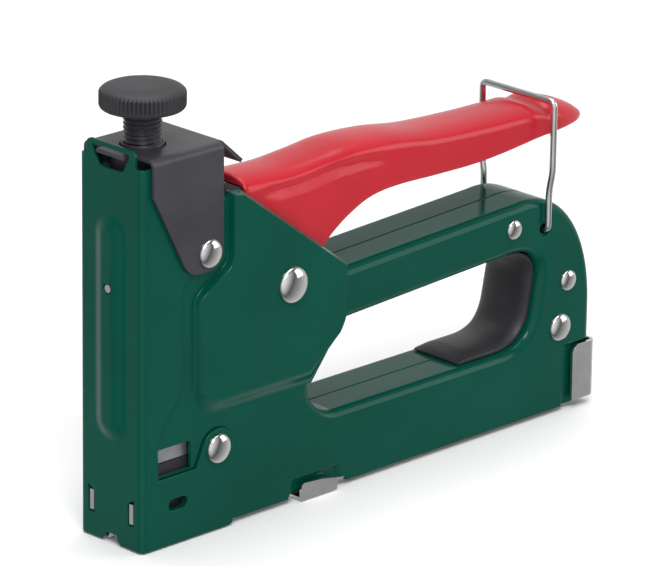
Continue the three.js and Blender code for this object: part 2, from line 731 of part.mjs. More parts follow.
function magazineTray() {
  const floor = block([4.8, CAP_FRONT + 8.4], [-TRAY_HALF, TRAY_HALF], [0, TRAY_SHEET]);
  const rails = pairOfBlocks([8, CAP_FRONT - 1], [4.6, 5.4], [0.5, 4]);
  const earHalf = BODY_HALF + 0.5;
  const wings = block(EARS, [-earHalf - 0.9, earHalf + 0.9], [0, WING]);
  const [front, rear] = EARS;
  const earOutline = polygon([
    [front, 0], [rear, 0], [rear, 2.6], [rear - 1, 3.7], [rear - 6.5, 4.7], [front + 1, 5.2], [front, 4.6],
  ]);
  const between = plateXZ(earOutline, earHalf, { thickness: 0, size: 0, grow: 1 });
  const ears = cut(plateXZ(earOutline, earHalf + 0.9), between);
  return join(floor, rails, wings, ears);
}

function trayEndCap() {
  const rear = CAP_FRONT + 9.9;
  const half = 13.2;
  const top = 19.8;
  const bottom = 2.2;
  const wrapOutline = new THREE.Shape();
  wrapOutline.moveTo(CAP_FRONT, -half);
  wrapOutline.lineTo(rear - 2, -half);
  wrapOutline.quadraticCurveTo(rear, -half, rear, 2 - half);
  wrapOutline.lineTo(rear, half - 2);
  wrapOutline.quadraticCurveTo(rear, half, rear - 2, half);
  wrapOutline.lineTo(CAP_FRONT, half);
  const wrap = cut(
    plateXY(wrapOutline, [bottom, top]),
    block([CAP_FRONT - 1, rear - 1], [1 - half, half - 1], [0, 30]),
  );
  const sideView = polygon([
    [CAP_FRONT, bottom], [rear - 1.5, bottom], [rear + 1, bottom + 2.5], [rear + 1, top],
    [CAP_FRONT + 3, top], [CAP_FRONT, top - 3],
  ]);
  const plug = block([CAP_FRONT + 1, rear - 0.5], [-9.2, 9.2], [TRAY_SHEET + GAP, 15]);
  const rodHole = rodAlongX([0, ROD_HEIGHT], ROD_RADIUS + GAP, [CAP_FRONT - 5, CAP_FRONT + 5.3]);
  return join(wrap.intersect(plateXZ(sideView, 20)), plug).subtract(rodHole);
}

function pusherRod() {
  return rodAlongX([0, ROD_HEIGHT], ROD_RADIUS, [PUSHER_FRONT + 1, CAP_FRONT + 5]);
}

function staplePusher() {
  const x = [PUSHER_FRONT, PUSHER_FRONT + PUSHER_LENGTH];
  const body = block(x, [-6.4, 6.4], [4.4, 14.8]);
  const foot = block(x, [-4.2, 4.2], [TRAY_SHEET + 0.4, 5]);
  const rodHole = rodAlongX([0, ROD_HEIGHT], ROD_RADIUS + 0.2, [0, x[1] + 5]);
  return join(body, foot).subtract(rodHole);
}

function pusherSpring() {
  const wire = 0.45;
  const from = PUSHER_FRONT + PUSHER_LENGTH + GAP + wire;
  const length = CAP_FRONT + 1 - GAP - wire - from;
  const geometry = coil(2.9, wire, length, 16, 6, 4);
  geometry.rotateY(Math.PI / 2);
  geometry.translate(from, 0, ROD_HEIGHT);
  return solid(geometry);
}

// ---------------------------------------------------------------- the whole tool

function allPieces() {
  return [
    ...bodyShells(),
    named('nose_cover', noseCover(), GREEN_PAINT),
    named('front_guide_plate', frontGuidePlate(), CHROME),
    named('nose_front_rivet', noseFrontRivet(), CHROME),
    named('hammer_bumper', bumper(), BLACK_RUBBER),
    named('top_bracket', topBracket(), BLACK_STEEL),
    named('threaded_bush', threadedBush(), BLACK_STEEL),
    named('spring_cup', springCup(), ZINC),
    named('tension_screw', tensionScrew(), BLACK_STEEL),
    named('tension_knob', tensionKnob(), BLACK_PLASTIC),
    named('main_spring', mainSpring(), SPRING_STEEL),
    named('hammer', hammer(), ZINC),
    named('driver_blade', driverBlade(), SPRING_STEEL),
    named('lever_arm', leverArm(), BLACK_STEEL),
    named('lever_grip', leverGrip(), RED_PLASTIC),
    named('pivot_spacer_left', pivotSpacer(-1), ZINC),
    named('pivot_spacer_right', pivotSpacer(1), ZINC),
    ...Object.entries(RIVETS).map(([name, sizes]) => named(name, rivet(sizes), CHROME)),
    named('wire_bail', wireBail(), CHROME),
    named('grip_insert', gripInsert(), BLACK_RUBBER),
    named('staple_channel', stapleChannel(), ZINC),
    named('magazine_tray', magazineTray(), CHROME),
    named('tray_end_cap', trayEndCap(), CHROME),
    named('pusher_rod', pusherRod(), ZINC),
    named('staple_pusher', staplePusher(), ZINC),
    named('pusher_spring', pusherSpring(), SPRING_STEEL),
  ];
}

const stapleGun = new THREE.Group();
stapleGun.name = 'staple_gun';
stapleGun.add(...allPieces());
stapleGun.position.x = -(LEVER_TIP - NOSE_BULGE) / 2;

export default stapleGun;
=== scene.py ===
"""The looks of a hand-operated staple gun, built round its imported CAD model.

Places are in millimetres from the front of the nose, on the surface the tool stands on, with +X to
the rear, as in the CAD. at() turns them into the row frame in metres.
"""

import math

import bmesh
import bpy
from mathutils import Matrix, Vector


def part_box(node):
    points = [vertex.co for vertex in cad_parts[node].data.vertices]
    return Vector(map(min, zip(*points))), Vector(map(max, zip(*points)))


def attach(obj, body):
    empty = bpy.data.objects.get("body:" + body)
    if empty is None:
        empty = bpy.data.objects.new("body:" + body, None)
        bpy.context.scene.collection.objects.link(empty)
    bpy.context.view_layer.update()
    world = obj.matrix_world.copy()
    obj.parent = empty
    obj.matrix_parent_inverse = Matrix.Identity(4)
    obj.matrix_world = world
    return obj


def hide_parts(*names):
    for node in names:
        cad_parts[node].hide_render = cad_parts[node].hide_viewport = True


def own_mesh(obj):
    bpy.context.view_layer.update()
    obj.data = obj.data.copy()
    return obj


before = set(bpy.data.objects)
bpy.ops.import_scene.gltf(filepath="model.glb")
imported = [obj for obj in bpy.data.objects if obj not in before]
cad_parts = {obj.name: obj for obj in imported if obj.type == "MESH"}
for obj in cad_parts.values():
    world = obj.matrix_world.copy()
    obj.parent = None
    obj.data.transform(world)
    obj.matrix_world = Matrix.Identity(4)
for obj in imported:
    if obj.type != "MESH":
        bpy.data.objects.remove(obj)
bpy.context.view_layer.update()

# ------------------------------------------------------------------ driving dimensions, mm

MM = 0.001
NOSE_BULGE = 1.5
NOSE_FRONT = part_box("nose_cover")[0][0] + NOSE_BULGE * MM

GAP = 0.3
SHEET = 1.2
SEAM = 0.12
BODY_HALF = 12.1
BELLY_HALF = 14.3
BELLY_RAMP = 1.9
BODY_BOTTOM = 1.1
BODY_REAR = 183.6
BODY_BEND = 2.8
INNER_HALF = BODY_HALF - SHEET
LOWER_BAR_TOP = 23.4

NOSE_HALF = 13.0
NOSE_SHEET = 1.0
NOSE_TOP = 112.3
NOSE_TAB_TOP = 117.3
NOSE_REAR = 35.0

BRACKET_HALF = 14.4
BRACKET_SHEET = 1.1
BRACKET_TOP = 115.0
SCREW_X = 12.0
SCREW_RADIUS = 5.5
THREAD_PITCH = 1.25
BUSH_RADIUS = 6.2
KNOB_BOTTOM = 125.2
KNOB_RADIUS = 12.2
KNURLS = 60

GRIP_FRONT = 42.5
LEVER_TIP = 186.4
GRIP_HALF = 10.5
CORE_HALF = 7.4

BAIL_HOLE = (162.3, 59.4)
WIRE_RADIUS = 1.0
BAIL_BAR = 99.2
BAIL_HALF = 14.6

INSERT_HALF = 9.3
EARS = (61.6, 75.9)
CAP_FRONT = 175.0
ROD_HEIGHT = 8.0

# name: (x, z, head radius, head height, the face the head sits on, shank radius)
RIVETS = {
    "lever_pivot_rivet": (56.4, 67.1, 5.4, 2.4, BELLY_HALF, 3.0),
    "bracket_rivet": (24.2, 83.8, 4.2, 2.0, BRACKET_HALF, 2.0),
    "nose_side_rivet": (29.1, 24.4, 4.4, 2.0, NOSE_HALF, 2.0),
    "rear_top_rivet": (149.0, 62.1, 3.0, 1.5, BODY_HALF, 1.6),
    "rear_middle_rivet": (172.9, 40.9, 3.2, 1.5, BODY_HALF, 1.6),
    "rear_lower_rivet": (169.9, 26.7, 4.3, 2.0, BODY_HALF, 2.0),
}

# The photograph's viewing angle: degrees and millimetres, about a point in the middle of the tool.
VIEW = {"azimuth": 44.5, "elevation": 19.05, "roll": 0.72, "distance": 1508.0, "side": 2.1, "up": -10.9}
VIEW_CENTRE = (80.0, 0.0, 70.0)
LENS = 291.1


def at(x, y, z):
    """A place on the tool, given in millimetres, as a point of the row frame in metres."""
    return Vector((x * MM + NOSE_FRONT, y * MM, z * MM))


# ------------------------------------------------------------------ outlines


class Outline:
    """A closed outline in a plane, drawn with straight runs, curves and arcs."""

    def __init__(self, u, v):
        self.points = [(u, v)]

    def line(self, u, v):
        self.points.append((u, v))
        return self

    def quad(self, cu, cv, u, v, steps=10):
        su, sv = self.points[-1]
        for i in range(1, steps + 1):
            t = i / steps
            a, b, c = (1 - t) ** 2, 2 * t * (1 - t), t * t
            self.points.append((a * su + b * cu + c * u, a * sv + b * cv + c * v))
        return self

    def cubic(self, au, av, bu, bv, u, v, steps=16):
        su, sv = self.points[-1]
        for i in range(1, steps + 1):
            t = i / steps
            a, b, c, d = (1 - t) ** 3, 3 * t * (1 - t) ** 2, 3 * t * t * (1 - t), t**3
            self.points.append((a * su + b * au + c * bu + d * u, a * sv + b * av + c * bv + d * v))
        return self

    def arc(self, cu, cv, radius, start, end, steps=12):
        for i in range(steps + 1):
            angle = math.radians(start + (end - start) * i / steps)
            self.points.append((cu + radius * math.cos(angle), cv + radius * math.sin(angle)))
        return self


def tidy_loop(points, clockwise=False):
    """The points without repeats, running anticlockwise, or clockwise for a hole."""
    kept = []
    for p in points:
        if not kept or math.dist(p, kept[-1]) > 1e-4:
            kept.append(p)
    if math.dist(kept[0], kept[-1]) < 1e-4:
        kept.pop()
    pairs = zip(kept, kept[1:] + kept[:1])
    area = sum(a[0] * b[1] - b[0] * a[1] for a, b in pairs)
    if (area < 0) != clockwise:
        kept.reverse()
    return kept


def inset_moves(loop):
    """For each corner, the move that shifts both its edges inwards by 1."""
    moves = []
    count = len(loop)
    for i in range(count):
        before, here, after = Vector(loop[i - 1]), Vector(loop[i]), Vector(loop[(i + 1) % count])
        one, two = (here - before).normalized(), (after - here).normalized()
        n1, n2 = Vector((-one.y, one.x)), Vector((-two.y, two.x))
        moves.append((n1 + n2) / max(1 + n1.dot(n2), 0.35))
    return moves


def shifted(points, amount):
    """The outline with all its edges moved inwards by amount."""
    loop = tidy_loop(points)
    return [(p[0] + m.x * amount, p[1] + m.y * amount) for p, m in zip(loop, inset_moves(loop))]


# ------------------------------------------------------------------ meshes

TO_XZ = {"XZ": lambda u, v, w: (u, -w, v), "YZ": lambda u, v, w: (w, u, v), "XY": lambda u, v, w: (u, v, w)}


def rounded_profile(low, high, low_edge, high_edge, steps):
    """(inset, height) steps from one face to the other, with both edges rounded."""
    profile = []
    for i in range(steps + 1):
        angle = i / steps * math.pi / 2
        profile.append((low_edge * (1 - math.sin(angle)), low + low_edge * (1 - math.cos(angle))))
    for i in range(steps, -1, -1):
        angle = i / steps * math.pi / 2
        profile.append((high_edge * (1 - math.sin(angle)), high - high_edge * (1 - math.cos(angle))))
    clean = [profile[0]]
    for step in profile[1:]:
        if math.dist(step, clean[-1]) > 1e-6:
            clean.append(step)
    return clean


def stack(name, outline, profile, holes=(), plane="XZ", width=None):
    """A plate whose outline is inset step by step, so that its edges follow the profile."""
    loops = [tidy_loop(outline)] + [tidy_loop(hole, clockwise=True) for hole in holes]
    place = TO_XZ[plane]
    bm = bmesh.new()
    rims = {0: [], len(profile) - 1: []}
    for loop in loops:
        moves = inset_moves(loop)
        rings = []
        for inset, w in profile:
            ring = []
            for (u, v), move in zip(loop, moves):
                wide = inset * (width(u, v) if width else 1)
                ring.append(bm.verts.new(at(*place(u + move.x * wide, v + move.y * wide, w))))
            rings.append(ring)
        for ring, upper in zip(rings, rings[1:]):
            for i in range(len(ring)):
                j = (i + 1) % len(ring)
                bm.faces.new((ring[i], ring[j], upper[j], upper[i]))
        for k in rims:
            rims[k].append(rings[k])
    for level in rims.values():
        if len(level) == 1:
            bm.faces.new(level[0])
        else:
            edges = [bm.edges.get((r[i - 1], r[i])) for r in level for i in range(len(r))]
            bmesh.ops.triangle_fill(bm, use_beauty=True, edges=edges)
    return from_bmesh(name, bm)


def plate(name, outline, low, high, holes=(), plane="XZ", edges=(0, 0), steps=5):
    """A plate between two faces; edges rounds the low and the high face's rim."""
    low_edge, high_edge = edges
    profile = rounded_profile(low, high, low_edge, high_edge, steps)
    return stack(name, outline, profile, holes, plane)


def from_bmesh(name, bm):
    """A new object from the mesh being built, with its faces pointing out."""
    bmesh.ops.remove_doubles(bm, verts=bm.verts, dist=1e-7)
    bmesh.ops.recalc_face_normals(bm, faces=bm.faces)
    mesh = bpy.data.meshes.new(name)
    bm.to_mesh(mesh)
    bm.free()
    obj = bpy.data.objects.new(name, mesh)
    bpy.context.scene.collection.objects.link(obj)
    return obj


def grid_solid(name, rings, closed_ends=True):
    """A solid skinned over rings of points; each ring is a closed loop."""
    bm = bmesh.new()
    loops = [[bm.verts.new(at(*p)) for p in ring] for ring in rings]
    for a, b in zip(loops, loops[1:]):
        for i in range(len(a)):
            j = (i + 1) % len(a)
            bm.faces.new((a[i], a[j], b[j], b[i]))
    if closed_ends:
        bm.faces.new(loops[0])
        bm.faces.new(loops[-1])
    return from_bmesh(name, bm)


def block(name, x, y, z):
    """A plain box; x, y and z are each a low and a high end."""
    bm = bmesh.new()
    corners = [bm.verts.new(at(a, b, c)) for a in x for b in y for c in z]
    for face in ((0, 1, 3, 2), (4, 6, 7, 5), (0, 4, 5, 1), (2, 3, 7, 6), (0, 2, 6, 4), (1, 5, 7, 3)):
        bm.faces.new([corners[i] for i in face])
    return from_bmesh(name, bm)


# Two directions across a turned piece's axis and one along it, as x, y and z.
AROUND = {
    "Z": lambda a, b, along: (a, b, along),
    "Y": lambda a, b, along: (a, along, b),
    "X": lambda a, b, along: (along, a, b),
}


def circle(sides):
    """Points round a circle of radius 1."""
    return [(math.cos(2 * math.pi * i / sides), math.sin(2 * math.pi * i / sides)) for i in range(sides)]


def turned(name, profile, centre, axis="Z", sides=48):
    """A turned piece: profile is (radius, distance along the axis), with a flat cap at each end."""
    x, y, z = centre
    rings = []
    for radius, along in profile:
        ring = []
        for c, s in circle(sides):
            dx, dy, dz = AROUND[axis](radius * c, radius * s, along)
            ring.append((x + dx, y + dy, z + dz))
        rings.append(ring)
    return grid_solid(name, rings)


def mirrored(obj, name):
    """A copy on the other side of Y = 0."""
    mesh = obj.data.copy()
    mesh.transform(Matrix.Scale(-1, 4, (0, 1, 0)))
    mesh.flip_normals()
    copy = bpy.data.objects.new(name, mesh)
    bpy.context.scene.collection.objects.link(copy)
    return copy


def carve(target, operation, *tools):
    """Cuts, joins or trims target with the tools, which are used up."""
    for tool in tools:
        modifier = target.modifiers.new("carve", "BOOLEAN")
        modifier.operation = operation
        modifier.solver = "MANIFOLD"
        modifier.object = tool
    evaluated = target.evaluated_get(bpy.context.evaluated_depsgraph_get())
    mesh = bpy.data.meshes.new_from_object(evaluated)
    target.modifiers.clear()
    old = target.data
    target.data = mesh
    bpy.data.meshes.remove(old)
    mesh.name = target.name
    for tool in tools:
        bpy.data.objects.remove(tool)
    return target


def shade(obj, angle=32):
    """Smooth shading with creases kept sharp, flat faces left flat."""
    bm = bmesh.new()
    bm.from_mesh(obj.data)
    bmesh.ops.remove_doubles(bm, verts=bm.verts, dist=2e-6)
    for face in bm.faces:
        face.smooth = True
    for edge in bm.edges:
        edge.smooth = len(edge.link_faces) == 2 and edge.calc_face_angle(0) < math.radians(angle)
    bm.to_mesh(obj.data)
    bm.free()
    modifier = obj.modifiers.new("even normals", "WEIGHTED_NORMAL")
    modifier.keep_sharp = True
    modifier.weight = 80
    return obj


def soften(obj, width=0.2, segments=2, angle=40):
    """A small rounding on the sharp edges, as pressed or moulded pieces have."""
    modifier = obj.modifiers.new("edge", "BEVEL")
    modifier.width = width * MM
    modifier.segments = segments
    modifier.limit_method = "ANGLE"
    modifier.angle_limit = math.radians(angle)
    modifier.harden_normals = False
    modifier.use_clamp_overlap = True
    return obj


# ------------------------------------------------------------------ materials


class Nodes:
    """A new material and short ways to add nodes to it."""

    def __init__(self, name):
        self.material = bpy.data.materials.new(name)
        self.material.use_nodes = True
        self.tree = self.material.node_tree
        self.shader = next(n for n in self.tree.nodes if n.type == "BSDF_PRINCIPLED")
        self.where = self.tree.nodes.new("ShaderNodeTexCoord").outputs["Object"]

    def noise(self, scale, detail=3, roughness=0.5):
        node = self.tree.nodes.new("ShaderNodeTexNoise")
        node.inputs["Scale"].default_value = scale
        node.inputs["Detail"].default_value = detail
        node.inputs["Roughness"].default_value = roughness
        self.tree.links.new(self.where, node.inputs["Vector"])
        return node.outputs["Fac"]

    def colours(self, fac, low, high, start=0.3, end=0.7):
        node = self.tree.nodes.new("ShaderNodeValToRGB")
        node.color_ramp.elements[0].position = start
        node.color_ramp.elements[1].position = end
        node.color_ramp.elements[0].color = (*low, 1)
        node.color_ramp.elements[1].color = (*high, 1)
        self.tree.links.new(fac, node.inputs["Fac"])
        return node.outputs["Color"]

    def spread(self, fac, low, high):
        node = self.tree.nodes.new("ShaderNodeMapRange")
        node.inputs["To Min"].default_value = low
        node.inputs["To Max"].default_value = high
        self.tree.links.new(fac, node.inputs["Value"])
        return node.outputs["Result"]

    def bump(self, height, strength, distance):
        node = self.tree.nodes.new("ShaderNodeBump")
        node.inputs["Strength"].default_value = strength
        node.inputs["Distance"].default_value = distance * MM
        self.tree.links.new(height, node.inputs["Height"])
        self.tree.links.new(node.outputs["Normal"], self.shader.inputs["Normal"])

    def link(self, output, socket):
        self.tree.links.new(output, self.shader.inputs[socket])

    def set(self, **values):
        for socket, value in values.items():
            self.shader.inputs[socket.replace("_", " ")].default_value = value


def green_enamel():
    """Dark green stove enamel: glossy, with a faint orange peel."""
    n = Nodes("green_enamel")
    n.link(n.colours(n.noise(28, 2), (0.0002, 0.058, 0.038), (0.0005, 0.069, 0.046)), "Base Color")
    n.link(n.spread(n.noise(420, 3), 0.10, 0.15), "Roughness")
    n.bump(n.noise(520, 2), 0.04, 0.1)
    n.set(Specular_IOR_Level=0.18)
    return n.material


def red_dip():
    """Red dipped plastic: glossy and slightly wavy."""
    n = Nodes("red_dip")
    n.link(n.colours(n.noise(35, 3), (0.43, 0.011, 0.021), (0.50, 0.016, 0.028)), "Base Color")
    n.link(n.spread(n.noise(300, 3), 0.17, 0.25), "Roughness")
    n.bump(n.noise(110, 2), 0.06, 0.3)
    n.set(Specular_IOR_Level=0.35)
    return n.material


def black_steel():
    """Satin black bracket steel with a fine grain and slightly rubbed patches."""
    n = Nodes("black_steel")
    n.link(n.colours(n.noise(60, 4), (0.034, 0.032, 0.038), (0.050, 0.047, 0.054)), "Base Color")
    n.link(n.spread(n.noise(700, 4), 0.28, 0.40), "Roughness")
    n.bump(n.noise(1600, 3), 0.15, 0.05)
    n.set(Specular_IOR_Level=0.4)
    return n.material


def black_plastic():
    """Moulded black plastic with a fine spark-eroded grain."""
    n = Nodes("black_plastic")
    n.link(n.colours(n.noise(90, 3), (0.018, 0.018, 0.021), (0.030, 0.030, 0.034)), "Base Color")
    n.link(n.spread(n.noise(1200, 2), 0.42, 0.58), "Roughness")
    n.bump(n.noise(2400, 2), 0.25, 0.05)
    n.set(IOR=1.47)
    return n.material


def soft_black():
    """Soft black plastic: dull, with a low sheen."""
    n = Nodes("soft_black")
    n.link(n.colours(n.noise(70, 3), (0.011, 0.010, 0.013), (0.019, 0.017, 0.022)), "Base Color")
    n.link(n.spread(n.noise(900, 3), 0.40, 0.55), "Roughness")
    n.bump(n.noise(1900, 3), 0.2, 0.06)
    n.set(IOR=1.5, Sheen_Weight=0.1, Sheen_Roughness=0.5)
    return n.material


def chrome():
    """Bright plating, a little uneven in its polish."""
    n = Nodes("chrome_plate")
    n.link(n.colours(n.noise(150, 3), (0.66, 0.655, 0.65), (0.76, 0.755, 0.75)), "Base Color")
    n.link(n.spread(n.noise(600, 4), 0.07, 0.16), "Roughness")
    n.bump(n.noise(240, 2), 0.03, 0.2)
    n.set(Metallic=1.0)
    return n.material


def zinc_plate():
    """Dull zinc plating with cloudy patches."""
    n = Nodes("zinc_plate")
    n.link(n.colours(n.noise(180, 5, 0.65), (0.36, 0.38, 0.39), (0.55, 0.57, 0.58)), "Base Color")
    n.link(n.spread(n.noise(500, 4), 0.28, 0.48), "Roughness")
    n.bump(n.noise(1300, 3), 0.12, 0.05)
    n.set(Metallic=0.9)
    return n.material


def spring_wire():
    """Oiled spring steel."""
    n = Nodes("spring_wire")
    n.link(n.colours(n.noise(220, 4), (0.16, 0.16, 0.17), (0.30, 0.30, 0.31)), "Base Color")
    n.link(n.spread(n.noise(800, 3), 0.25, 0.42), "Roughness")
    n.bump(n.noise(1500, 3), 0.1, 0.04)
    n.set(Metallic=0.95)
    return n.material


MATERIALS = {
    "green_paint": green_enamel(),
    "red_plastic": red_dip(),
    "black_steel": black_steel(),
    "black_plastic": black_plastic(),
    "black_rubber": soft_black(),
    "chrome": chrome(),
    "zinc": zinc_plate(),
    "spring_steel": spring_wire(),
}


def dress(obj, slot):
    """Gives a piece the material of its slot and no other."""
    obj.data.materials.clear()
    obj.data.materials.append(MATERIALS[slot])
    return obj


def finished(obj, body, slot, *nodes):
    """Gives a new piece its material and its body, and lets it stand for its CAD nodes."""
    dress(obj, slot)
    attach(obj, body)
    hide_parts(*nodes)


# ------------------------------------------------------------------ body shells


def hand_opening():
    """The hole between the lower and the upper bar."""
    hole = Outline(76.5, LOWER_BAR_TOP)
    hole.cubic(70, 24.4, 63.5, 30.5, 67.2, 36).line(76.5, 47.6).quad(78.5, 50.2, 81.5, 50.4)
    hole.line(149, 53.9).cubic(157, 54.3, 161.6, 51, 161.3, 44.2).line(159.2, 33.5)
    hole.cubic(157.8, 27, 153.5, LOWER_BAR_TOP, 144, LOWER_BAR_TOP)
    return hole.points


def body_outline():
    """The body from the side, with the belly left out; it is cut flat at its bottom later."""
    shape = Outline(1.6, -4).line(BODY_REAR, -4).line(BODY_REAR, 32)
    shape.cubic(BODY_REAR, 53, 172, 71.5, 152, 69.1, 28)
    shape.line(78, 65.8).line(38.2, 95).line(35.5, 99.3).line(1.6, 99.3)
    return shape.points


def belly_outline():
    """The raised middle of the body, from the side."""
    shape = Outline(33, 99.6).line(33, 81).cubic(33, 75.5, 20, 75, 20, 68).line(20, 43)
    shape.quad(20.5, 34.6, 30, 34.6).line(66.2, 34.6).line(76.5, 47.6).quad(78.6, 50.4, 79.2, 53.5)
    return shape.line(79.2, 68.4).line(37.8, 98.9).points


def nose_side_outline():
    """The nose cover from the side, with its ear round the rivet."""
    rivet_x, rivet_z = RIVETS["nose_side_rivet"][:2]
    shape = Outline(0, 0).line(NOSE_REAR - 2, 0).quad(NOSE_REAR, 0, NOSE_REAR, 2)
    shape.arc(rivet_x, rivet_z, NOSE_REAR - rivet_x, 0, 150, 18).line(20.8, 20.3).line(6.3, 20.3)
    shape.line(6, 29.4).cubic(6, 36, 9, 37.5, 11, 40).cubic(14, 43, 15, 45.5, 15, 50).line(15, 71.5)
    shape.cubic(15, 76, 17.5, 78.8, 22, 79.6).line(27.6, 80).line(27.6, NOSE_TOP).line(0, NOSE_TOP)
    return shape.points


def side_slot():
    """The short slot with round ends near the nose's foot."""
    x, z, half, radius = 13.8, 11.8, 1.9, 1.75
    return Outline(x, z - radius).arc(x + half, z, radius, -90, 90).arc(x - half, z, radius, 90, 270).points


def bores():
    """Cutters for the rivets' holes, a little larger than their shanks."""
    extra = 0.15
    result = []
    for x, z, _, _, _, shank in RIVETS.values():
        result.append(turned("bore", [(shank + extra, -20), (shank + extra, 20)], (x, 0, z), "Y", 24))
    return result


def belly_ramp(u, v):
    """The raised middle has steep sides, and fades out over a wider band along its lower edge."""
    low = max(0.0, min(1.0, (46 - v) / 11))
    return 0.62 + 2.2 * low * low * (3 - 2 * low)


def body_shell():
    """The near shell: a bar-shaped tray with a raised middle, rounded along every outer edge."""
    opening = hand_opening()
    shell = plate(
        "left_body_shell_skin", body_outline(), SEAM, BODY_HALF, holes=[opening],
        edges=(0.4, BODY_BEND),
    )
    rise = BELLY_HALF - BODY_HALF
    ramp = [(0, 2)]
    for i in range(11):
        t = i / 10
        ramp.append((BELLY_RAMP * t, BODY_HALF - 0.02 + (rise + 0.02) * t * t * (3 - 2 * t)))
    belly = stack("belly", belly_outline(), ramp, width=belly_ramp)
    inner_bars = plate(
        "inner", shifted(body_outline(), SHEET), -1, INNER_HALF, edges=(0, 1.2), steps=3,
        holes=[shifted_hole(opening)],
    )
    belly_inside = shifted(belly_outline(), SHEET + BELLY_RAMP)
    inner_belly = plate("inner", belly_inside, 1, BELLY_HALF - SHEET, edges=(0, 0.6), steps=2)
    carve(shell, "UNION", belly)
    slot = [(0, 94), (33, 94), (74.5, 64), (77.6, 66.2), (77.6, 72), (38, 101), (0, 101)]
    cuts = [
        inner_bars,
        inner_belly,
        block("cut", (-5, 4), (-INNER_HALF, 1), (-5, 110)),
        block("cut", (-5, BODY_REAR + 5), (-9.7, 1), (-5, 4)),
        block("cut", (178, BODY_REAR + 5), (-9.7, 1), (-5, 20.5)),
        block("cut", (-5, BODY_REAR + 5), (-20, 5), (-10, BODY_BOTTOM)),
        plate("cut", slot, -1, 11.2),
    ]
    carve(shell, "DIFFERENCE", *cuts)
    pockets = []
    floors = []
    for x0, x1, z1 in ((EARS[0] - 3.2, EARS[1] + 3, 7), (171.2, BODY_REAR + 5, 20.8)):
        outline = Outline(x0, -3).line(x1, -3).line(x1, z1).line(x0 + 2, z1)
        pockets.append(pocket(outline.quad(x0, z1, x0, z1 - 2, 4).points))
        floor_end = min(x1 + 1, BODY_REAR - SHEET)
        thickness = (-INNER_HALF - 0.1, 0.9 - INNER_HALF)
        floors.append(block("floor", (x0 - 1, floor_end), thickness, (3, z1 + 1)))
    carve(shell, "DIFFERENCE", *pockets)
    carve(shell, "UNION", *floors)
    notch = Outline(EARS[0] - 4, -3).line(EARS[1] + 5, -3).line(EARS[1] + 5, 1.6).line(EARS[1] + 4, 2.5)
    notch.line(EARS[0] - 3.4, 2.5).line(EARS[0] - 4, 1.6)
    carve(shell, "DIFFERENCE", plate("notch", notch.points, -1, 25))
    seat = plate("seat", shifted(nose_side_outline(), -GAP), 11.7, 25)
    window = Outline(6.4, 20.9).line(19.3, 20.9).line(19.3, 27.9).quad(19.3, 29.1, 18.1, 29.1, 5)
    window = plate("window", window.line(6.4, 29.1).points, 5, 25)
    oval = plate("oval", side_slot(), 5, 25)
    wire_x, wire_z = BAIL_HOLE
    bore = WIRE_RADIUS + 0.6
    hole = turned("hole", [(bore, -20), (bore, 20)], (wire_x, 0, wire_z), "Y", 24)
    carve(shell, "DIFFERENCE", seat, window, oval, hole, bail_groove(), *bores())
    return shade(soften(shell, 0.25, 2, 50))


def pocket(outline):
    """A cutter for a pressed pocket, with soft sloping walls down to its floor."""
    floor = INNER_HALF + 0.1
    profile = []
    for i in range(9):
        t = i / 8
        profile.append((1.6 * (1 - t), floor + (BODY_HALF + 0.02 - floor) * t * t * (3 - 2 * t)))
    profile.append((0, 25))
    return stack("pocket", outline, profile)


def shifted_hole(points):
    """A hole's outline, larger all round by the sheet's thickness."""
    return shifted(points, -SHEET)


def bail_groove():
    """The dimple in the shell that the wire's lower end lies in."""
    x, z = BAIL_HOLE
    shape = Outline(x + 2.2, z).arc(x, z, 2.2, 0, -180, 12).line(x - 2.2, z + 16).line(x + 2.2, z + 16).points
    return plate("groove", shape, BODY_HALF - 0.55, 25)


def body_shells():
    """Both halves of the body."""
    left = body_shell()
    right = mirrored(left, "right_body_shell_skin")
    right.modifiers.clear()
    finished(left, "frame", "green_paint", "left_body_shell")
    shade(soften(right, 0.25, 2, 50))
    finished(right, "frame", "green_paint", "right_body_shell")


# ------------------------------------------------------------------ nose


def nose_section(half, front, corner, rear=50.0):
    """The nose from above, with round front corners."""
    shape = Outline(rear, -half).line(rear, half).line(front + corner, half)
    shape.arc(front + corner, half - corner, corner, 90, 180, 8)
    shape.arc(front + corner, corner - half, corner, 180, 270, 8)
    return shape.points


def tab_outline():
    """The tab that stands up from the nose's front, with round corners."""
    shape = Outline(-10, 100).line(10, 100).arc(8, NOSE_TAB_TOP - 2, 2, 0, 90, 8)
    return shape.arc(-8, NOSE_TAB_TOP - 2, 2, 90, 180, 8).points


def nose_bulge():
    """The long raised rib down the nose's front."""
    half, low, high = 6.8, 30.0, 97.5
    shape = Outline(half, high - half).arc(0, high - half, half, 0, 180, 20)
    shape.arc(0, low + half, half, 180, 360, 20)
    profile = []
    for i in range(11):
        t = i / 10
        profile.append((5.2 * (1 - t), -NOSE_BULGE * (1 - t * t * (3 - 2 * t)) + 0.02))
    profile.append((0, 0.5))
    return stack("bulge", shape.points, profile, plane="YZ")


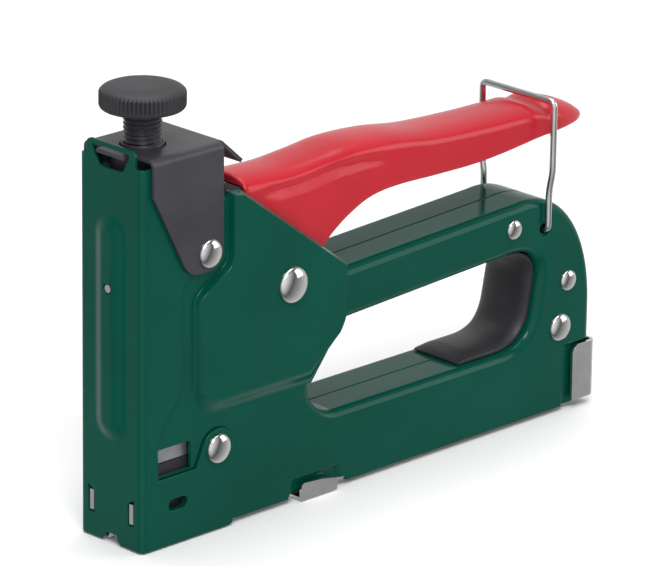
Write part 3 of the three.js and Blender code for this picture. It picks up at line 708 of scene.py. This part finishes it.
def nose_cover():
    """One folded sheet with its tab, its rib, and the holes and slots through it."""
    outer = plate("nose_cover_skin", nose_section(NOSE_HALF, 0, 2), 0, NOSE_TAB_TOP, plane="XY")
    inside = nose_section(NOSE_HALF - NOSE_SHEET, NOSE_SHEET, 1.2, 60)
    inner = plate("inner", inside, -1, NOSE_TAB_TOP + 1, plane="XY")
    envelope = plate("envelope", nose_side_outline(), -20, 20)
    carve(envelope, "UNION", plate("tab", tab_outline(), -1, NOSE_SHEET + 0.5, plane="YZ"))
    carve(outer, "DIFFERENCE", inner)
    carve(outer, "INTERSECT", envelope)
    carve(outer, "UNION", nose_bulge())
    tongue = Outline(-5, 110.4).quad(0, 109.7, 5, 110.4, 6).line(7.4, 114.6).line(7.4, 115.9)
    tongue.line(-7.4, 115.9).line(-7.4, 114.6)
    notch = Outline(-3.7, -2).line(3.7, -2).line(3.7, 0.4).quad(2.6, 0.6, 2.3, 2.6, 5)
    notch.line(-2.3, 2.6).quad(-2.6, 0.6, -3.7, 0.4, 5)
    cuts = [
        plate("cut", tongue.points, -3, 3, plane="YZ"),
        plate("cut", notch.points, -3, 3, plane="YZ"),
        turned("cut", [(1.5, -5), (1.5, 5)], (0, 0, 75.6), "X", 24),
        plate("cut", side_slot(), -20, 20),
    ]
    for side in (-1, 1):
        slot = Outline(side * 9.5, 7.6).line(side * 9.5, 15.2).line(side * 6.9, 13.6).line(side * 6.9, 7)
        cuts.append(plate("cut", slot.line(side * 9, 7).points, -3, 3, plane="YZ"))
    carve(outer, "DIFFERENCE", *cuts, *bores())
    shade(soften(outer, 0.22, 2, 50))
    finished(outer, "frame", "green_paint", "nose_cover")


# ------------------------------------------------------------------ bracket, screw and knob


def bracket():
    """A folded sheet over the nose, with an ear on each side, a tongue in front and a sloping tail."""
    rivet_x, rivet_z = RIVETS["bracket_rivet"][:2]
    foot = 5.2
    ear = Outline(2.8, 130).line(3.2, 104.2).line(14.3, 82.7)
    ear.quad(16.4, rivet_z - foot, 20, rivet_z - foot, 8)
    ear.arc(rivet_x, rivet_z, foot, -90, 0, 12).line(rivet_x + foot, 130)

    def section(half, top, corner):
        shape = Outline(-half, 70).line(half, 70).arc(half - corner, top - corner, corner, 0, 90, 8)
        return shape.arc(corner - half, top - corner, corner, 90, 180, 8).points

    inner_half, inner_top = BRACKET_HALF - BRACKET_SHEET, BRACKET_TOP - BRACKET_SHEET - 0.1
    piece = plate("top_bracket_skin", section(BRACKET_HALF, BRACKET_TOP, 2.2), 0, 29.9, plane="YZ")
    carve(piece, "DIFFERENCE", plate("inner", section(inner_half, inner_top, 1.1), -1, 31, plane="YZ"))
    carve(piece, "INTERSECT", plate("ear", ear.points, -20, 20))
    tail = Outline(28.4, BRACKET_TOP).line(29.8, BRACKET_TOP).quad(30.8, 114.8, 31.6, 114, 5)
    tail.line(38.8, 107.6).line(38.1, 106.7).line(30.8, 113.2).quad(30, 113.9, 29, 113.9, 5)
    add = [
        plate("tail", tail.points, -12, 12),
        block("tongue", (-0.2, 4), (-5.6, 5.6), (inner_top, BRACKET_TOP)),
    ]
    carve(piece, "UNION", *add)
    bore = BUSH_RADIUS + GAP
    hole = turned("hole", [(bore, -5), (bore, 5)], (SCREW_X, 0, BRACKET_TOP), "Z", 40)
    carve(piece, "DIFFERENCE", hole, *bores())
    shade(soften(piece, 0.25, 2, 45))
    finished(piece, "frame", "black_steel", "top_bracket")


def thread_radius(height, angle, outer, depth):
    """A triangular thread with slightly flattened crests."""
    turn = (height / THREAD_PITCH - angle / (2 * math.pi)) % 1
    return outer - depth * max(0.0, min(1.0, abs(2 * turn - 1) * 1.25 - 0.1))


def tension_screw():
    """A screw with a real helical thread."""
    sides, low, high = 48, 101.9, KNOB_BOTTOM - GAP
    rows = int((high - low) / THREAD_PITCH * 9)
    rings = [[(SCREW_X + 4.4 * c, 4.4 * s, low) for c, s in circle(sides)]]
    for k in range(rows + 1):
        z = low + 0.3 + (high - low - 0.3) * k / rows
        ring = []
        for i, (c, s) in enumerate(circle(sides)):
            r = thread_radius(z, 2 * math.pi * i / sides, SCREW_RADIUS, 0.6)
            ring.append((SCREW_X + r * c, r * s, z))
        rings.append(ring)
    for radius, z in ((4.0, high + 0.01), (4.0, KNOB_BOTTOM + 2.6)):
        rings.append([(SCREW_X + radius * c, radius * s, z) for c, s in circle(sides)])
    screw = grid_solid("tension_screw_threads", rings)
    shade(screw, 50)
    finished(screw, "knob_and_screw", "black_steel", "tension_screw")


def tension_knob():
    """A thick disc with a knurled rim and a softly domed top."""
    r, z = KNOB_RADIUS, KNOB_BOTTOM
    sides = KNURLS * 6
    rows = [
        (4.2, 0.0, 0.0), (9.8, 0.0, 0.0), (10.7, 0.1, 0.0), (11.6, 0.4, 0.1), (12.0, 0.8, 0.3), (r, 1.4, 0.8),
        (r, 1.8, 1.0), (r, 3.4, 1.0), (r, 4.8, 1.0), (12.1, 5.1, 0.7), (11.8, 5.5, 0.25), (11.3, 5.9, 0.0),
        (10.7, 6.2, 0.0), (10.0, 6.45, 0.0), (9.2, 6.66, 0.0), (8.2, 6.85, 0.0), (7.0, 6.95, 0.0),
        (5.0, 7.04, 0.0), (3.0, 7.08, 0.0), (0.2, 7.1, 0.0),
    ]
    rings = []
    for radius, height, knurl in rows:
        ring = []
        for i, (c, s) in enumerate(circle(sides)):
            wave = 0.5 + 0.5 * math.cos(2 * math.pi * i / 6)
            cut = radius - 0.5 * knurl * (1 - wave) ** 1.5
            ring.append((SCREW_X + cut * c, cut * s, z + height))
        rings.append(ring)
    knob = grid_solid("tension_knob_knurled", rings)
    shade(knob, 60)
    finished(knob, "knob_and_screw", "black_plastic", "tension_knob")


def bush():
    """The collar that the screw runs in, held by the bracket's top."""
    bore, under = SCREW_RADIUS + 0.1, BRACKET_TOP - BRACKET_SHEET - 0.1 - GAP
    profile = [
        (bore, 108.5), (9, 108.5), (9, under), (BUSH_RADIUS, under), (BUSH_RADIUS, BRACKET_TOP + 0.5),
        (BUSH_RADIUS - 0.2, BRACKET_TOP + 0.8), (bore, BRACKET_TOP + 0.8), (bore, 108.5),
    ]
    rings = [[(SCREW_X + r * c, r * s, z) for c, s in circle(48)] for r, z in profile]
    piece = grid_solid("threaded_bush_turned", rings, closed_ends=False)
    shade(piece, 35)
    finished(piece, "frame", "black_steel", "threaded_bush")


# ------------------------------------------------------------------ lever grip

# The crest and the lower edge of the grip, from its mouth to its tip.
GRIP_TOP = [
    (42.5, 100.2), (50, 99.8), (61, 99.4), (73, 100.2), (86, 101.3), (102, 100.5), (118, 98.3), (138, 97.2),
    (155, 96.9), (168, 97.0), (175, 95.4), (180, 93.3), (184, 90.8), (186.4, 88.9),
]
GRIP_EDGE = [
    (42.5, 88.0), (50, 82.7), (58, 77.0), (64, 72.8), (67.5, 71.3), (71, 72.8), (76, 77.1), (83, 81.4),
    (91, 84.5), (101, 85.6), (118, 85.3), (134, 85.2), (148, 86.1), (160, 87.4), (172, 88.2), (186.4, 88.2),
]
GRIP_VALLEY = [(42.5, 95.2), (60, 94.2), (75, 95.6), (90, 95.6), (104, 94.0), (186.4, 94.0)]
TONGUE = 20.0  # length of the half-round end
DENT = (163.9, 2.3, 1.2)  # the groove below the wire's bar: place, half width, depth


def height_at(table, x):
    """The height at x of a smooth curve through the table's points."""
    k = max(i for i in range(len(table) - 1) if table[i][0] <= x + 1e-9)

    def slope(i):
        a, b = table[max(i - 1, 0)], table[min(i + 1, len(table) - 1)]
        return (b[1] - a[1]) / (b[0] - a[0])

    (x0, z0), (x1, z1) = table[k], table[k + 1]
    span = x1 - x0
    t = (x - x0) / span
    start = (2 * t**3 - 3 * t**2 + 1) * z0 + (t**3 - 2 * t**2 + t) * span * slope(k)
    return start + (-2 * t**3 + 3 * t**2) * z1 + (t**3 - t**2) * span * slope(k + 1)


def ease(low, high, x):
    """0 below low, 1 above high, and a smooth change between them."""
    t = max(0.0, min(1.0, (x - low) / (high - low)))
    return t * t * (3 - 2 * t)


def swell(x, place, reach):
    """1 at place, and a smooth bell shape down to 0 on both sides."""
    return math.exp(-(((x - place) / reach) ** 2))


def grip_half_width(x):
    tongue = max(0.0, x - (LEVER_TIP - TONGUE)) / TONGUE
    straight = GRIP_HALF - 0.9 * (1 - ease(GRIP_FRONT, 64, x))
    return max(0.4, straight * math.sqrt(max(0.0, 1 - tongue**2)))


def grip_section(x, inset=0.0):
    """The sleeve across the lever at x: its outside from the near edge over the top, then its inside."""
    top, edge, half = height_at(GRIP_TOP, x), height_at(GRIP_EDGE, x), grip_half_width(x)
    place, reach, depth = DENT
    tongue = ease(LEVER_TIP - TONGUE - 4, LEVER_TIP - 8, x)
    drop = (5.4 - 1.2 * ease(70, 120, x)) * (1 - tongue) + tongue * max(0.3, top - edge - 0.7)
    pressed = ease(44, 60, x) * (1 - ease(84, 104, x))
    valley = height_at(GRIP_VALLEY, x)
    outside = []
    steps = 22
    for i in range(steps + 1):
        t = i / steps
        if t < 0.5:
            angle = t * math.pi
            y, z = half * math.sin(angle) ** 0.86, top - drop * (1 - math.cos(angle) ** 0.8)
        else:
            y, z = half, top - drop - (top - drop - edge - 0.7) * (2 * t - 1)
        y += pressed * (0.9 * swell(z, valley - 4.6, 2.4) - 1.3 * swell(z, valley, 1.5))
        along = place + 1.2 * (y / half) ** 2
        z -= depth * swell(x, along, reach) * (1 - 0.6 * max(0.0, 2 * t - 1))
        outside.append((min(y, GRIP_HALF) - inset * (t > 0.15), z - inset * (1 - 0.5 * (t > 0.5))))
    outside += [(half - 0.25 - inset, edge + 0.2), (max(half - 0.8 - inset, 0.2), edge)]
    hollow = CORE_HALF + GAP if x < 172.5 else 0.15
    roof = top - 2.5 if x < 172.5 else edge + 0.05
    wall = min(hollow, half - 1)
    inside = [(wall, edge), (wall, max(roof - 0.4, edge + 0.02)), (hollow - 0.1, max(roof, edge + 0.04))]
    if half < 1.2:
        inside = [(0.1, edge), (0.1, edge + 0.02), (0.05, edge + 0.04)]
    near = [(x, -y, z) for y, z in reversed(outside)]
    far = [(x, y, z) for y, z in outside[1:]]
    back = [(x, y, z) for y, z in inside] + [(x, -y, z) for y, z in reversed(inside)]
    return near + far + back


def lever_grip():
    """The dipped sleeve: a domed crest, a pressed valley along its front half and a spoon-shaped end."""
    rings = [grip_section(GRIP_FRONT + 0.02, 0.9)]
    for ahead, inset in ((0.12, 0.45), (0.4, 0.15), (0.9, 0.0)):
        rings.append([(GRIP_FRONT + ahead, y, z) for _, y, z in grip_section(GRIP_FRONT + ahead, inset)])
    straight_end = LEVER_TIP - TONGUE
    straight_start = GRIP_FRONT + 1.4
    count = 84
    for i in range(count):
        rings.append(grip_section(straight_start + (straight_end - straight_start) * i / count))
    for i in range(29):
        rings.append(grip_section(straight_end + TONGUE * math.sin(i / 28 * math.pi / 2) - 0.02 * (i == 28)))
    grip = grid_solid("lever_grip_sleeve", rings)
    shade(grip, 55)
    finished(grip, "lever", "red_plastic", "lever_grip")


# ------------------------------------------------------------------ rivets, bail and insert


def rivets():
    """Through pins with a domed head on both sides."""
    for name, (x, z, head, dome, seat, shank) in RIVETS.items():
        under = seat + 0.02
        profile = [(0.01, -under - dome)]
        for i in range(1, 11):
            angle = i / 10 * math.pi / 2
            profile.append((head * math.sin(angle), -under - 0.25 - (dome - 0.25) * math.cos(angle)))
        profile += [(head, -under), (shank, -under)]
        profile += [(radius, -y) for radius, y in reversed(profile)]
        piece = turned(name + "_domed", profile, (x, 0, z), "Y", 48)
        shade(piece, 40)
        finished(piece, "frame", "chrome", name)


def sweep(name, path, radius, sides=16):
    """Round wire along a path of points, with the section kept square to the path."""
    points = [Vector(p) for p in path]
    rings = []
    side = None
    for i, p in enumerate(points):
        ahead = points[min(i + 1, len(points) - 1)] - points[max(i - 1, 0)]
        ahead.normalize()
        if side is None:
            side = ahead.orthogonal().normalized()
        side = (side - ahead * side.dot(ahead)).normalized()
        other = ahead.cross(side)
        rings.append([tuple(p + (side * c + other * s) * radius) for c, s in circle(sides)])
    first, last = rings[0], rings[-1]
    start = [tuple(points[0] + (Vector(q) - points[0]) * 0.7) for q in first]
    end = [tuple(points[-1] + (Vector(q) - points[-1]) * 0.7) for q in last]
    out0 = (points[0] - points[1]).normalized() * radius * 0.3
    out1 = (points[-1] - points[-2]).normalized() * radius * 0.3
    rings = [[tuple(Vector(q) + out0) for q in start], *rings, [tuple(Vector(q) + out1) for q in end]]
    return grid_solid(name, rings)


def rounded_path(points, rounding, steps=8):
    """Straight runs through the points, with each corner rounded."""
    corners = [Vector(p) for p in points]
    path = [corners[0]]
    for before, here, after in zip(corners, corners[1:], corners[2:]):
        a = here.lerp(before, rounding / (here - before).length)
        b = here.lerp(after, rounding / (here - after).length)
        for i in range(steps + 1):
            t = i / steps
            path.append(a * (1 - t) ** 2 + here * (2 * t * (1 - t)) + b * t * t)
    return path + [corners[-1]]


def wire_bail():
    """A bent wire: in at the hole, up the side, over the lever and down the other side."""
    x, z = BAIL_HOLE
    lower = BODY_HALF + WIRE_RADIUS + 0.3
    leg = [(9.4, z), (lower, z), (lower, 71.2), (BAIL_HALF, 77.8), (BAIL_HALF, BAIL_BAR)]
    path = [(x, -y, h) for y, h in leg] + [(x, y, h) for y, h in reversed(leg)]
    bail = sweep("wire_bail_bent", rounded_path(path, 1.8), WIRE_RADIUS)
    shade(bail, 50)
    finished(bail, "bail", "chrome", "wire_bail")


def insert_path():
    """The hand opening's lower rear edge, from the lower bar round to the upper bar, with its normals."""
    low = LOWER_BAR_TOP + GAP
    run = Outline(129.5, low).line(144, low).cubic(153, low, 157.4, 27.2, 158.9, 33.6, 12).line(161, 44.2)
    run.cubic(161.2, 50.4, 156.6, 53.7, 149.6, 53.5, 12)
    points = [Vector((u, v)) for u, v in run.points]
    even = []
    for a, b in zip(points, points[1:]):
        pieces = max(1, round((b - a).length / 1.2))
        even += [a.lerp(b, k / pieces) for k in range(pieces)]
    even.append(points[-1])
    normals = []
    for i in range(len(even)):
        ahead = (even[min(i + 1, len(even) - 1)] - even[max(i - 1, 0)]).normalized()
        normals.append(Vector((-ahead.y, ahead.x)))
    return even, normals


def grip_insert():
    """The soft finger rest: thin at its rims and crowned across the hand."""
    path, normals = insert_path()
    across = 24
    rings = []
    for k, (p, n) in enumerate(zip(path, normals)):
        ends = min(1.0, k / 4) ** 0.5 * min(1.0, (len(path) - 1 - k) / 4) ** 0.5
        ring = []
        for i in range(across + 1):
            y = -INSERT_HALF + 2 * INSERT_HALF * i / across
            u = abs(y) / INSERT_HALF
            thick = 0.4 + ends * (0.7 + 1.9 * (1 - u**2.2) ** 0.8) * (1 - 0.35 * u**12)
            q = p + n * thick
            ring.append((q.x, y, q.y))
        for y in (INSERT_HALF, -INSERT_HALF):
            ring.append((p.x, y, p.y))
        rings.append(ring)
    insert = grid_solid("grip_insert_crowned", rings)
    soften(insert, 0.35, 3, 40)
    shade(insert, 40)
    finished(insert, "frame", "black_rubber", "grip_insert")


# ------------------------------------------------------------------ magazine


def end_cap():
    """The bent sheet that closes the tray, and the plug inside it."""
    rear, half, low, high = CAP_FRONT + 9.9, 13.2, 2.2, 19.8
    wrap = Outline(CAP_FRONT, -half).line(rear - 2, -half).arc(rear - 2, 2 - half, 2, -90, 0, 8)
    wrap.arc(rear - 2, half - 2, 2, 0, 90, 8).line(CAP_FRONT, half).line(CAP_FRONT, half - 1)
    wrap.arc(rear - 2, half - 2, 1, 90, 0, 8).arc(rear - 2, 2 - half, 1, 0, -90, 8).line(CAP_FRONT, 1 - half)
    piece = plate("tray_end_cap_sheet", wrap.points, low, high, plane="XY")
    side = Outline(CAP_FRONT, low).line(rear - 1.5, low).line(rear + 1, low + 2.5).line(rear + 1, high)
    side.line(CAP_FRONT + 3, high).arc(CAP_FRONT + 3, high - 3, 3, 90, 180, 8)
    carve(piece, "INTERSECT", plate("side", side.points, -20, 20))
    carve(piece, "UNION", block("plug", (CAP_FRONT + 1, rear - 0.5), (-9.2, 9.2), (1.3, 15)))
    carve(piece, "DIFFERENCE", turned("hole", [(1.8, -5), (1.8, 5.3)], (CAP_FRONT, 0, ROD_HEIGHT), "X", 24))
    shade(soften(piece, 0.25, 2, 40))
    finished(piece, "magazine", "chrome", "tray_end_cap")


# ------------------------------------------------------------------ springs


def coil(name, radius, wire, turns, ends, place):
    """A coil spring from end to end; place turns (across, across, along) into x, y and z."""
    steps = 20
    path = []
    for i in range(turns * steps + 1):
        angle = 2 * math.pi * i / steps
        along = ends[0] + (ends[1] - ends[0]) * i / (turns * steps)
        path.append(place(radius * math.cos(angle), radius * math.sin(angle), along))
    spring = sweep(name, path, wire, 10)
    return shade(spring, 60)


def main_spring():
    """It lies between the hammer and the cup."""
    wire = 1.0
    low, high = [corner[2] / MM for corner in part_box("main_spring")]
    ends = (low + wire, high - wire)
    spring = coil("main_spring_coil", 7.3, wire, 7, ends, lambda a, b, z: (SCREW_X + a, b, z))
    finished(spring, "frame", "spring_steel", "main_spring")
    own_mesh(spring)


def pusher_spring():
    """It lies round the rod."""
    wire = 0.45
    low, high = [(corner[0] - NOSE_FRONT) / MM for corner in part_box("pusher_spring")]
    ends = (low + wire, high - wire)
    spring = coil("pusher_spring_coil", 2.9, wire, 16, ends, lambda a, b, x: (x, a, ROD_HEIGHT + b))
    finished(spring, "magazine", "spring_steel", "pusher_spring")
    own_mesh(spring)


# ------------------------------------------------------------------ all pieces

KEPT = {
    "front_guide_plate": "chrome",
    "nose_front_rivet": "chrome",
    "hammer_bumper": "black_rubber",
    "spring_cup": "zinc",
    "hammer": "zinc",
    "driver_blade": "spring_steel",
    "lever_arm": "black_steel",
    "pivot_spacer_left": "zinc",
    "pivot_spacer_right": "zinc",
    "staple_channel": "zinc",
    "magazine_tray": "chrome",
    "pusher_rod": "zinc",
    "staple_pusher": "zinc",
}

body_shells()
nose_cover()
bracket()
tension_screw()
tension_knob()
bush()
lever_grip()
rivets()
wire_bail()
grip_insert()
end_cap()
main_spring()
pusher_spring()
for node, slot in KEPT.items():
    dress(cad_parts[node], slot)

# ------------------------------------------------------------------ floor, light and camera

LAMP_AIM = (0, 0, 0.06)  # metres

def floor():
    """A plain pale floor."""
    bm = bmesh.new()
    size = 4.0
    corners = [bm.verts.new((a * size, b * size, -0.0005)) for a, b in ((-1, -1), (1, -1), (1, 1), (-1, 1))]
    bm.faces.new(corners)
    obj = from_bmesh("floor", bm)
    n = Nodes("pale_floor")
    n.link(n.colours(n.noise(3, 2), (0.92, 0.92, 0.92), (0.95, 0.95, 0.95)), "Base Color")
    n.set(Roughness=0.85)
    obj.data.materials.append(n.material)
    obj.visible_glossy = False


def softbox(name, place, size, power):
    """A square or oblong lamp that faces the tool."""
    light = bpy.data.lights.new(name, "AREA")
    light.shape = "RECTANGLE"
    light.size, light.size_y = size
    light.energy = power
    obj = bpy.data.objects.new(name, light)
    bpy.context.scene.collection.objects.link(obj)
    obj.location = place
    obj.rotation_euler = (Vector(LAMP_AIM) - Vector(place)).to_track_quat("-Z", "Y").to_euler()


def view_axes():
    """Directions of the photograph's camera: backwards, right and up, with its roll taken out."""
    az, el = math.radians(VIEW["azimuth"]), math.radians(VIEW["elevation"])
    back = Vector((-math.sin(az) * math.cos(el), -math.cos(az) * math.cos(el), math.sin(el)))
    right = Vector((math.cos(az), -math.sin(az), 0))
    return back, right, back.cross(right)


def surroundings():
    """A pale studio that darkens towards the photographer's side."""
    world = bpy.data.worlds.new("studio")
    world.use_nodes = True
    bpy.context.scene.world = world
    tree = world.node_tree
    background = next(n for n in tree.nodes if n.type == "BACKGROUND")
    where = tree.nodes.new("ShaderNodeTexCoord").outputs["Generated"]
    facing = tree.nodes.new("ShaderNodeVectorMath")
    facing.operation = "DOT_PRODUCT"
    facing.inputs[1].default_value = view_axes()[0]
    tree.links.new(where, facing.inputs[0])
    spread = tree.nodes.new("ShaderNodeMapRange")
    spread.inputs["From Min"].default_value = -1
    tree.links.new(facing.outputs["Value"], spread.inputs["Value"])
    ramp = tree.nodes.new("ShaderNodeValToRGB")
    for place, level in ((0.0, 0.7), (0.28, 0.6), (0.5, 0.3), (0.66, 0.1), (1.0, 0.03)):
        stop = ramp.color_ramp.elements.new(place)
        stop.color = (level, level, level, 1)
    ramp.color_ramp.elements.remove(ramp.color_ramp.elements[0])
    ramp.color_ramp.elements.remove(ramp.color_ramp.elements[-1])
    tree.links.new(spread.outputs["Result"], ramp.inputs["Fac"])
    tree.links.new(ramp.outputs["Color"], background.inputs["Color"])
    background.inputs["Strength"].default_value = 1.0
    bpy.context.scene.view_settings.view_transform = "Standard"


def camera():
    """The photograph's camera."""
    back, right, up = view_axes()
    roll = math.radians(VIEW["roll"])
    turned_right = right * math.cos(roll) + up * math.sin(roll)
    turned_up = up * math.cos(roll) - right * math.sin(roll)
    reach = back * VIEW["distance"] + turned_right * VIEW["side"] + turned_up * VIEW["up"]
    place = at(*VIEW_CENTRE) + reach * MM
    data = bpy.data.cameras.new("camera")
    data.sensor_width = 36
    data.lens = LENS
    data.clip_start = 0.05
    obj = bpy.data.objects.new("camera", data)
    bpy.context.scene.collection.objects.link(obj)
    axes = Matrix((turned_right, turned_up, back)).transposed().to_4x4()
    obj.matrix_world = Matrix.Translation(place) @ axes
    bpy.context.scene.camera = obj


floor()
surroundings()
softbox("key", (-0.7, -0.8, 1.3), (0.6, 0.6), 11)
softbox("overhead", (0.1, 0.2, 1.6), (1.4, 1.4), 17)
softbox("fill", (1.0, -0.8, 0.5), (0.7, 0.9), 4)
camera()
